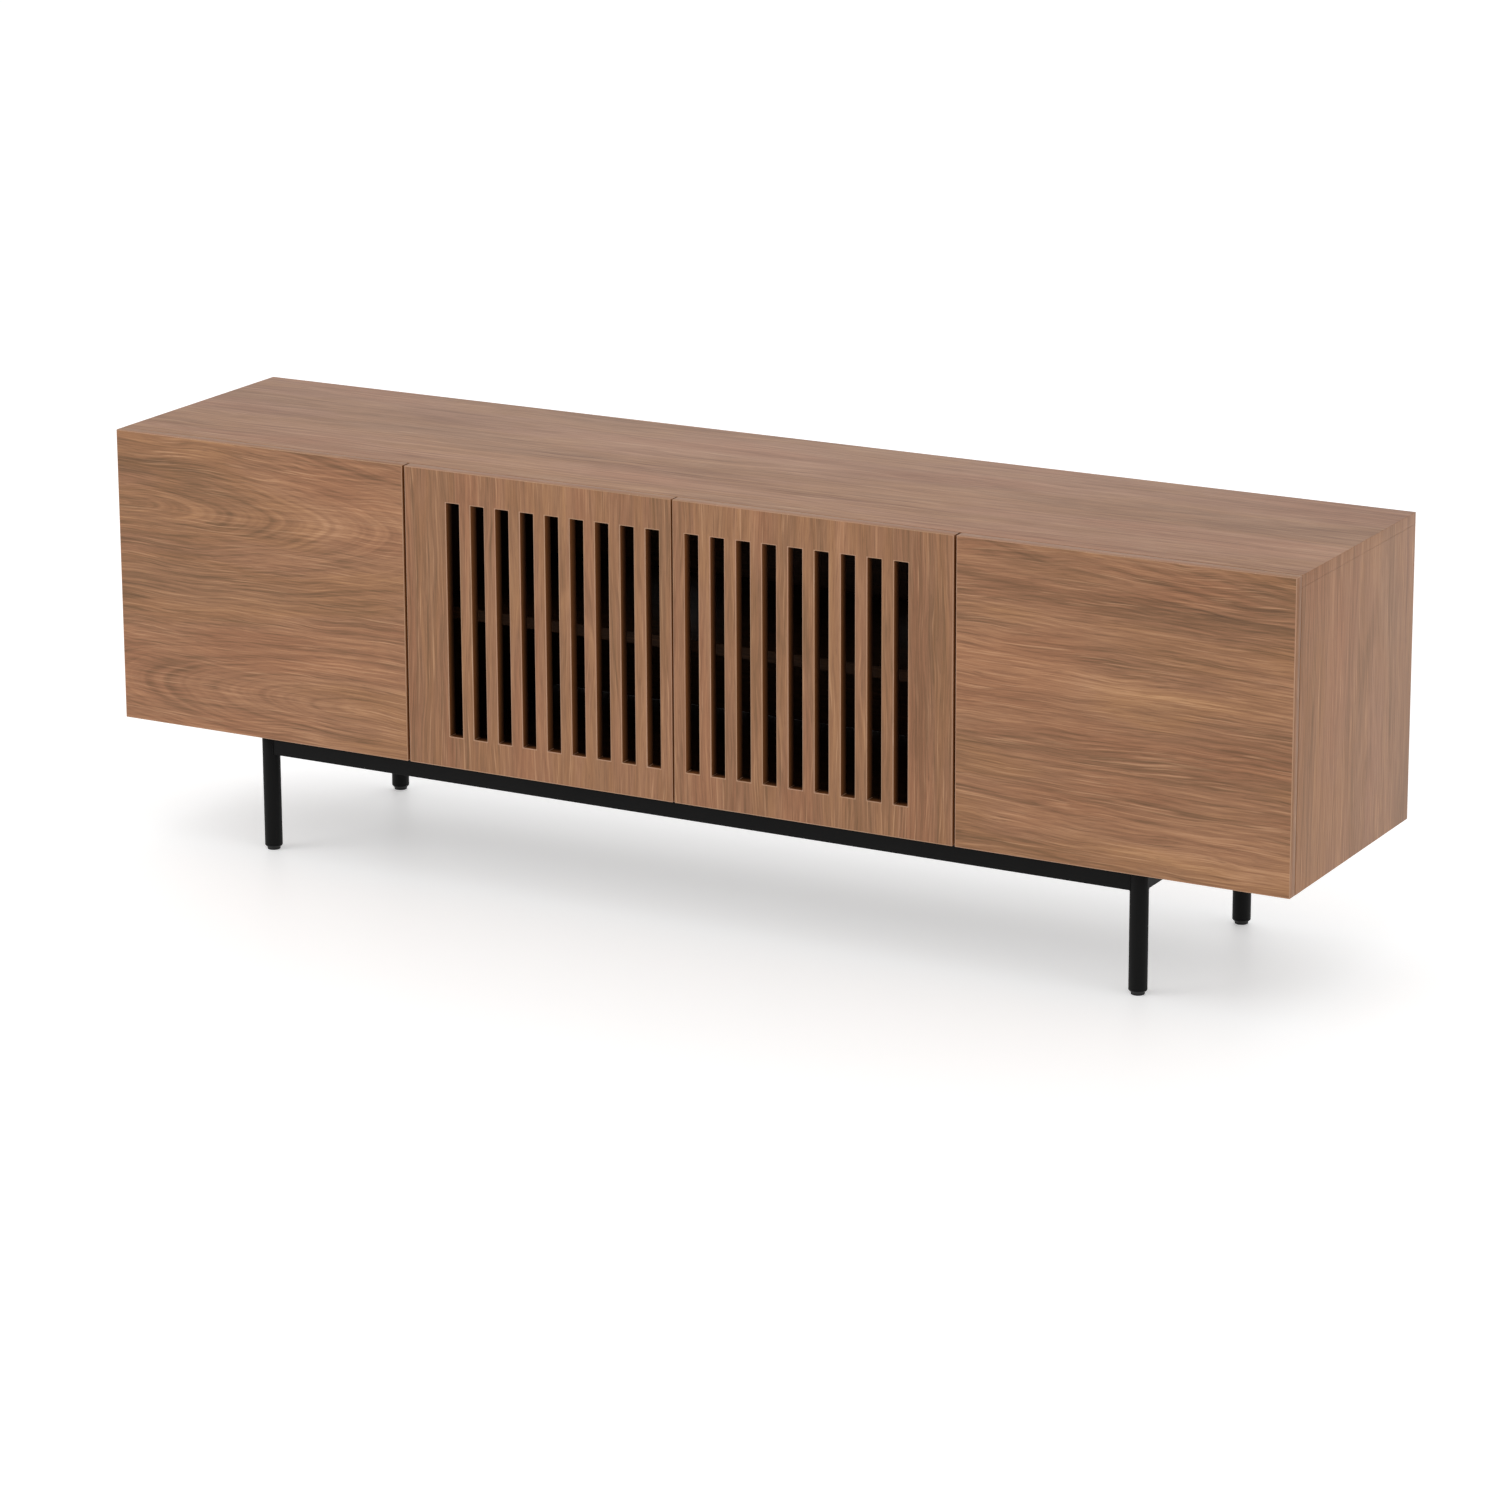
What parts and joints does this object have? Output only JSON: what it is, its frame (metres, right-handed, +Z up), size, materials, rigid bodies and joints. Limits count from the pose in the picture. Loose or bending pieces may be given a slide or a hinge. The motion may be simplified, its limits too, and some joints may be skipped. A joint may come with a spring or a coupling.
{
  "type": "media cabinet",
  "caption": "Long low walnut media cabinet with two solid and two slatted push-to-open doors, shelves inside, on a black steel frame with round legs.",
  "frame": {"origin": "centre of the cabinet's plan, on the floor under the glides", "axes": "+X to the right along the length, -Y towards the doors, +Z up"},
  "size_m": [2, 0.44, 0.66],
  "materials": {
    "walnut_veneer": "matt lacquered walnut veneer",
    "black_steel": "matt black powder coat",
    "black_plastic": "moulded, matt",
    "grey_plastic": "moulded, matt",
    "nickel_steel": "nickel plated"
  },
  "bodies": {
    "cabinet": {"back_panel": "walnut_veneer", "bottom_panel": "walnut_veneer", "glide_front_left": "black_plastic", "glide_front_right": "black_plastic", "glide_rear_left": "black_plastic", "glide_rear_right": "black_plastic", "hinge_arm_slatted_left_lower": "nickel_steel", "hinge_arm_slatted_left_upper": "nickel_steel", "hinge_arm_slatted_right_lower": "nickel_steel", "hinge_arm_slatted_right_upper": "nickel_steel", "hinge_arm_solid_left_lower": "nickel_steel", "hinge_arm_solid_left_upper": "nickel_steel", "hinge_arm_solid_right_lower": "nickel_steel", "hinge_arm_solid_right_upper": "nickel_steel", "latch_body_slatted_left": "grey_plastic", "latch_body_slatted_right": "grey_plastic", "latch_body_solid_left": "grey_plastic", "latch_body_solid_right": "grey_plastic", "leg_front_left": "black_steel", "leg_front_right": "black_steel", "leg_rear_left": "black_steel", "leg_rear_right": "black_steel", "partition_left": "walnut_veneer", "partition_right": "walnut_veneer", "rail_front": "black_steel", "rail_left": "black_steel", "rail_rear": "black_steel", "rail_right": "black_steel", "shelf_centre": "walnut_veneer", "shelf_left": "walnut_veneer", "shelf_pin_left_inner_front": "nickel_steel", "shelf_pin_left_inner_rear": "nickel_steel", "shelf_pin_left_outer_front": "nickel_steel", "shelf_pin_left_outer_rear": "nickel_steel", "shelf_pin_right_inner_front": "nickel_steel", "shelf_pin_right_inner_rear": "nickel_steel", "shelf_pin_right_outer_front": "nickel_steel", "shelf_pin_right_outer_rear": "nickel_steel", "shelf_right": "walnut_veneer", "side_panel_left": "walnut_veneer", "side_panel_right": "walnut_veneer", "top_panel": "walnut_veneer"},
    "door_solid_left": {"door_solid_left": "walnut_veneer", "hinge_cup_solid_left_lower": "nickel_steel", "hinge_cup_solid_left_upper": "nickel_steel"},
    "latch_plunger_solid_left": {"latch_plunger_solid_left": "nickel_steel"},
    "door_slatted_left": {"door_slatted_left": "walnut_veneer", "hinge_cup_slatted_left_lower": "nickel_steel", "hinge_cup_slatted_left_upper": "nickel_steel"},
    "latch_plunger_slatted_left": {"latch_plunger_slatted_left": "nickel_steel"},
    "door_solid_right": {"door_solid_right": "walnut_veneer", "hinge_cup_solid_right_lower": "nickel_steel", "hinge_cup_solid_right_upper": "nickel_steel"},
    "latch_plunger_solid_right": {"latch_plunger_solid_right": "nickel_steel"},
    "door_slatted_right": {"door_slatted_right": "walnut_veneer", "hinge_cup_slatted_right_lower": "nickel_steel", "hinge_cup_slatted_right_upper": "nickel_steel"},
    "latch_plunger_slatted_right": {"latch_plunger_slatted_right": "nickel_steel"}
  },
  "joints": [
    {"name": "door_solid_left_hinge", "type": "hinge", "parent": "cabinet", "child": "door_solid_left", "pos_m": [-0.999, -0.218, 0.426], "axis": [0, 0, -1], "range_deg": [0, 95]},
    {"name": "latch_plunger_solid_left_slide", "type": "slide", "parent": "cabinet", "child": "latch_plunger_solid_left", "axis": [0, -1, 0], "range_m": [0, 0.038]},
    {"name": "door_slatted_left_hinge", "type": "hinge", "parent": "cabinet", "child": "door_slatted_left", "pos_m": [-0.466, -0.218, 0.426], "axis": [0, 0, -1], "range_deg": [0, 95]},
    {"name": "latch_plunger_slatted_left_slide", "type": "slide", "parent": "cabinet", "child": "latch_plunger_slatted_left", "axis": [0, -1, 0], "range_m": [0, 0.038]},
    {"name": "door_solid_right_hinge", "type": "hinge", "parent": "cabinet", "child": "door_solid_right", "pos_m": [0.999, -0.218, 0.426], "axis": [0, 0, 1], "range_deg": [0, 95]},
    {"name": "latch_plunger_solid_right_slide", "type": "slide", "parent": "cabinet", "child": "latch_plunger_solid_right", "axis": [0, -1, 0], "range_m": [0, 0.038]},
    {"name": "door_slatted_right_hinge", "type": "hinge", "parent": "cabinet", "child": "door_slatted_right", "pos_m": [0.466, -0.218, 0.426], "axis": [0, 0, 1], "range_deg": [0, 95]},
    {"name": "latch_plunger_slatted_right_slide", "type": "slide", "parent": "cabinet", "child": "latch_plunger_slatted_right", "axis": [0, -1, 0], "range_m": [0, 0.038]}
  ],
  "couplings": [
    {"joint": "latch_plunger_solid_left_slide", "follows": "door_solid_left_hinge", "m_per_rad": 0.0229},
    {"joint": "latch_plunger_slatted_left_slide", "follows": "door_slatted_left_hinge", "m_per_rad": 0.0229},
    {"joint": "latch_plunger_solid_right_slide", "follows": "door_solid_right_hinge", "m_per_rad": 0.0229},
    {"joint": "latch_plunger_slatted_right_slide", "follows": "door_slatted_right_hinge", "m_per_rad": 0.0229}
  ]
}
